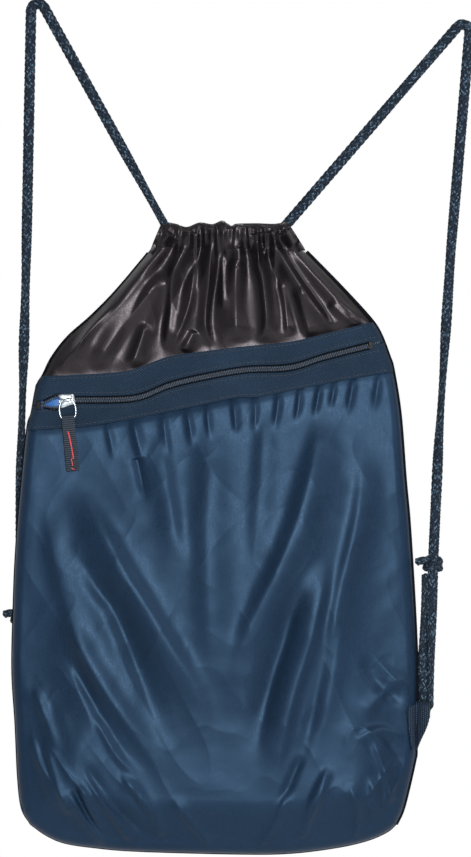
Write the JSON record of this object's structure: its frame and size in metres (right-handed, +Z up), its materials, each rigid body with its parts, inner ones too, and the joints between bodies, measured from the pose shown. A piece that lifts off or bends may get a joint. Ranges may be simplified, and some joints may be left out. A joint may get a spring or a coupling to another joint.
{
  "type": "drawstring backpack",
  "caption": "Flat drawstring backpack hanging by its cords: gathered grey satin top, slanted zip band and navy front pocket, braided cords knotted through side webbing tabs.",
  "frame": {"origin": "midway between the tops of the two cord loops that hang on the hooks", "axes": "+X to the right as seen from the front, -Y out of the front, +Z up"},
  "size_m": [0.3685, 0.0458, 0.6657],
  "materials": {
    "grey_satin": "shiny dark grey polyester satin, plain woven",
    "navy_cloth": "navy blue coated polyester cloth with a soft sheen",
    "navy_twill": "matt navy twill tape and webbing",
    "blue_lining": "bright blue plain lining",
    "black_tape": "black woven tape and ribbed grosgrain ribbon",
    "black_coil": "black nylon zip coil",
    "bright_metal": "bright nickel-plated die casting and wire",
    "cord_braid": "dark navy braided cord with pale flecks",
    "red_thread": "thick red sewing thread"
  },
  "bodies": {
    "bag": {"back_panel": "grey_satin", "yoke_front": "grey_satin", "channel_front": "grey_satin", "channel_back": "grey_satin", "zip_band_upper": "navy_twill", "zip_band_lower": "navy_twill", "tab_left": "navy_twill", "tab_right": "navy_twill", "pocket_panel": "navy_cloth", "pocket_lining": "blue_lining", "seam_binding_left": "black_tape", "seam_binding_right": "black_tape", "seam_binding_bottom": "black_tape", "zip_tape_upper": "black_tape", "zip_tape_lower": "black_tape", "zip_coil_upper": "black_coil", "zip_coil_lower": "black_coil", "zip_stop_left": "black_coil", "zip_stop_right": "black_coil", "channel_cord_front": "cord_braid", "channel_cord_back": "cord_braid", "cord_left": "cord_braid", "cord_right": "cord_braid", "knot_left": "cord_braid", "knot_right": "cord_braid"},
    "slider": {"slider_body": "bright_metal", "slider_bail": "bright_metal"},
    "pull": {"pull_ring": "bright_metal"},
    "ribbon": {"pull_ribbon": "black_tape", "pull_bartack": "red_thread"}
  },
  "joints": [
    {"name": "zip_slide", "type": "slide", "parent": "bag", "child": "slider", "axis": [0.9841, 0, 0.1778], "range_m": [-0.014, 0.231]},
    {"name": "pull_swing", "type": "hinge", "parent": "slider", "child": "pull", "pos_m": [-0.14297, -0.01235, -0.29985], "axis": [-0.996, 0, -0.0889], "range_deg": [0, 110]},
    {"name": "ribbon_swing", "type": "hinge", "parent": "pull", "child": "ribbon", "pos_m": [-0.14169, -0.01235, -0.3142], "axis": [-0.996, 0, -0.0889], "range_deg": [0, 60]}
  ]
}
